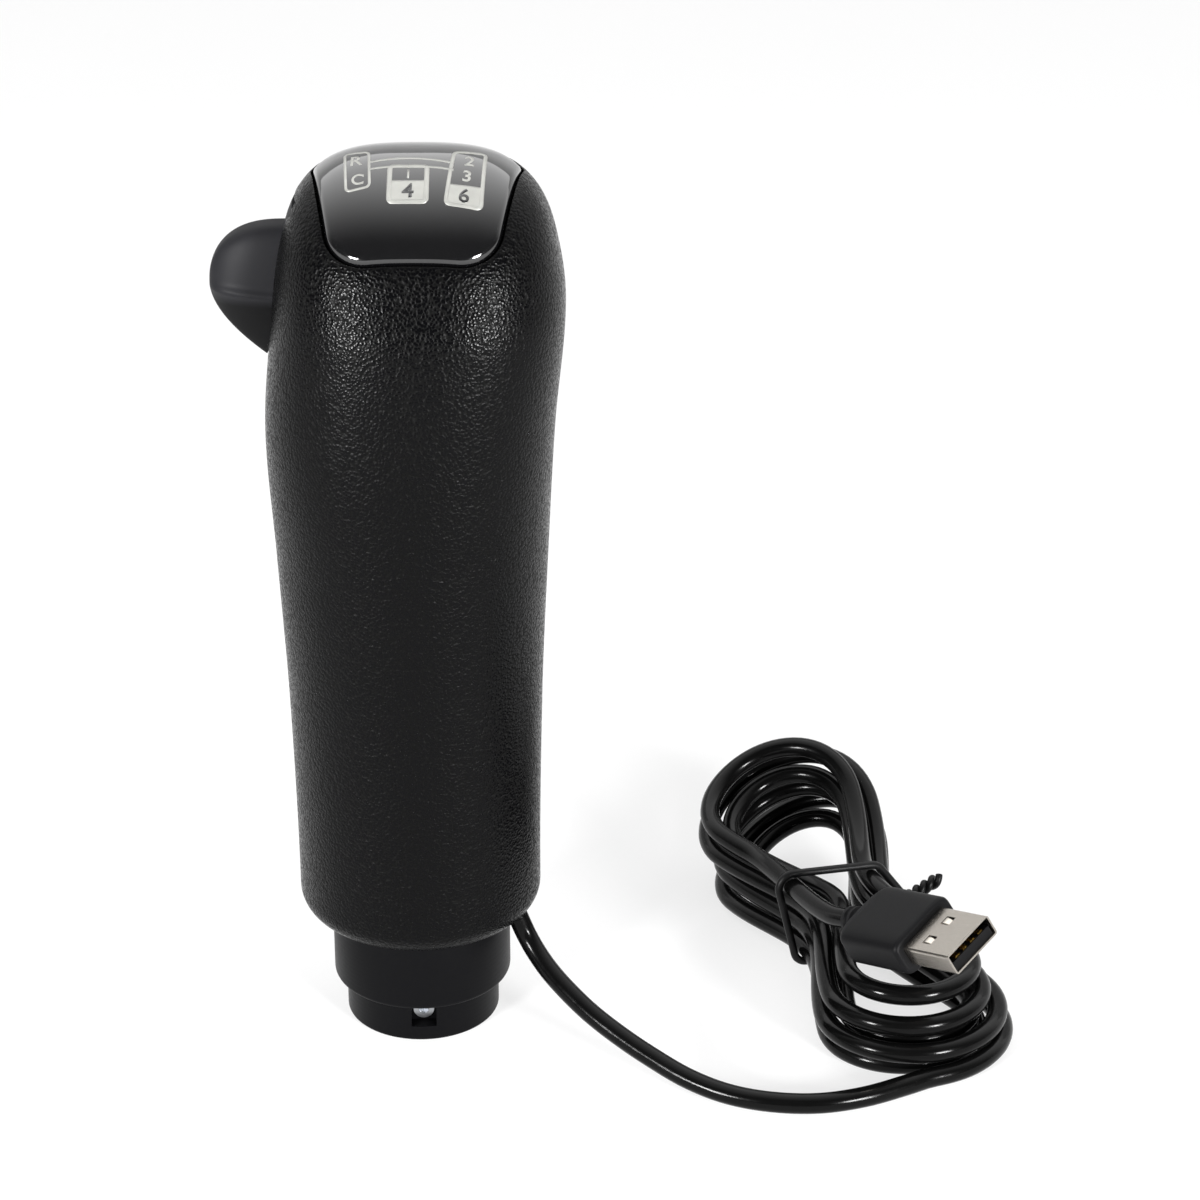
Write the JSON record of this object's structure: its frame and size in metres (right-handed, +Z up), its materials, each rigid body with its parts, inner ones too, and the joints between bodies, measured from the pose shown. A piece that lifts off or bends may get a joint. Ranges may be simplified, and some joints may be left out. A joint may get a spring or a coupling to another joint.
{
  "type": "simulator gear shifter knob",
  "caption": "Tall grip-style gear knob for a driving simulator with a gear-pattern cap, a thumb range paddle, a lever socket in its neck and a data lead in a tied hank with a plug.",
  "frame": {"origin": "mouth of the lever's bore, on its axis, in the plane of the neck's foot", "axes": "+Z up along the lever's axis; -Y towards the driver, whom the cap leans to; the paddle is on -X"},
  "size_m": [0.1522, 0.1036, 0.1782],
  "materials": {
    "grip": "leather-grained soft vinyl",
    "core": "as moulded",
    "screws": "zinc plated",
    "cap": "high gloss with a printed gear pattern",
    "neck": "satin",
    "insert": "turned",
    "board": "lacquered",
    "chip": "moulded",
    "connector": "natural nylon",
    "switch": "moulded",
    "peg": "moulded",
    "paddle": "satin",
    "lead": "satin sheath",
    "tie": "covered wire",
    "plug": "moulded",
    "shell": "nickel plated sheet",
    "contacts": "gold plated"
  },
  "bodies": {
    "knob": {"grip_sleeve": "grip", "core_front": "core", "core_rear": "core", "core_screws": "screws", "gear_cap": "cap", "cap_screws": "screws", "neck_socket": "neck", "lever_insert": "insert", "grub_screws": "screws", "circuit_board": "board", "board_screws": "screws", "controller_chip": "chip", "board_parts": "chip", "board_socket": "connector", "cable_connector": "connector", "slide_switch": "switch", "pivot_pin": "screws", "pivot_spacer": "connector", "cord_clamp": "core", "clamp_screws": "screws", "inner_cable": "lead", "cable_lead": "lead", "cable_hank": "lead", "cable_tie": "tie", "plug_body": "plug", "plug_shell": "shell", "plug_tongue": "plug", "plug_contacts": "contacts"},
    "paddle": {"range_paddle": "paddle"},
    "peg": {"switch_peg": "peg"}
  },
  "joints": [
    {"name": "paddle_hinge", "type": "hinge", "parent": "knob", "child": "paddle", "pos_m": [-0.0105, 0.002, 0.152], "axis": [0, 1, 0], "range_deg": [0, 14]},
    {"name": "peg_slide", "type": "slide", "parent": "knob", "child": "peg", "axis": [0, 0, -1], "range_m": [0, 0.0034]}
  ],
  "couplings": [
    {"joint": "peg_slide", "follows": "paddle_hinge", "m_per_rad": 0.0135}
  ]
}
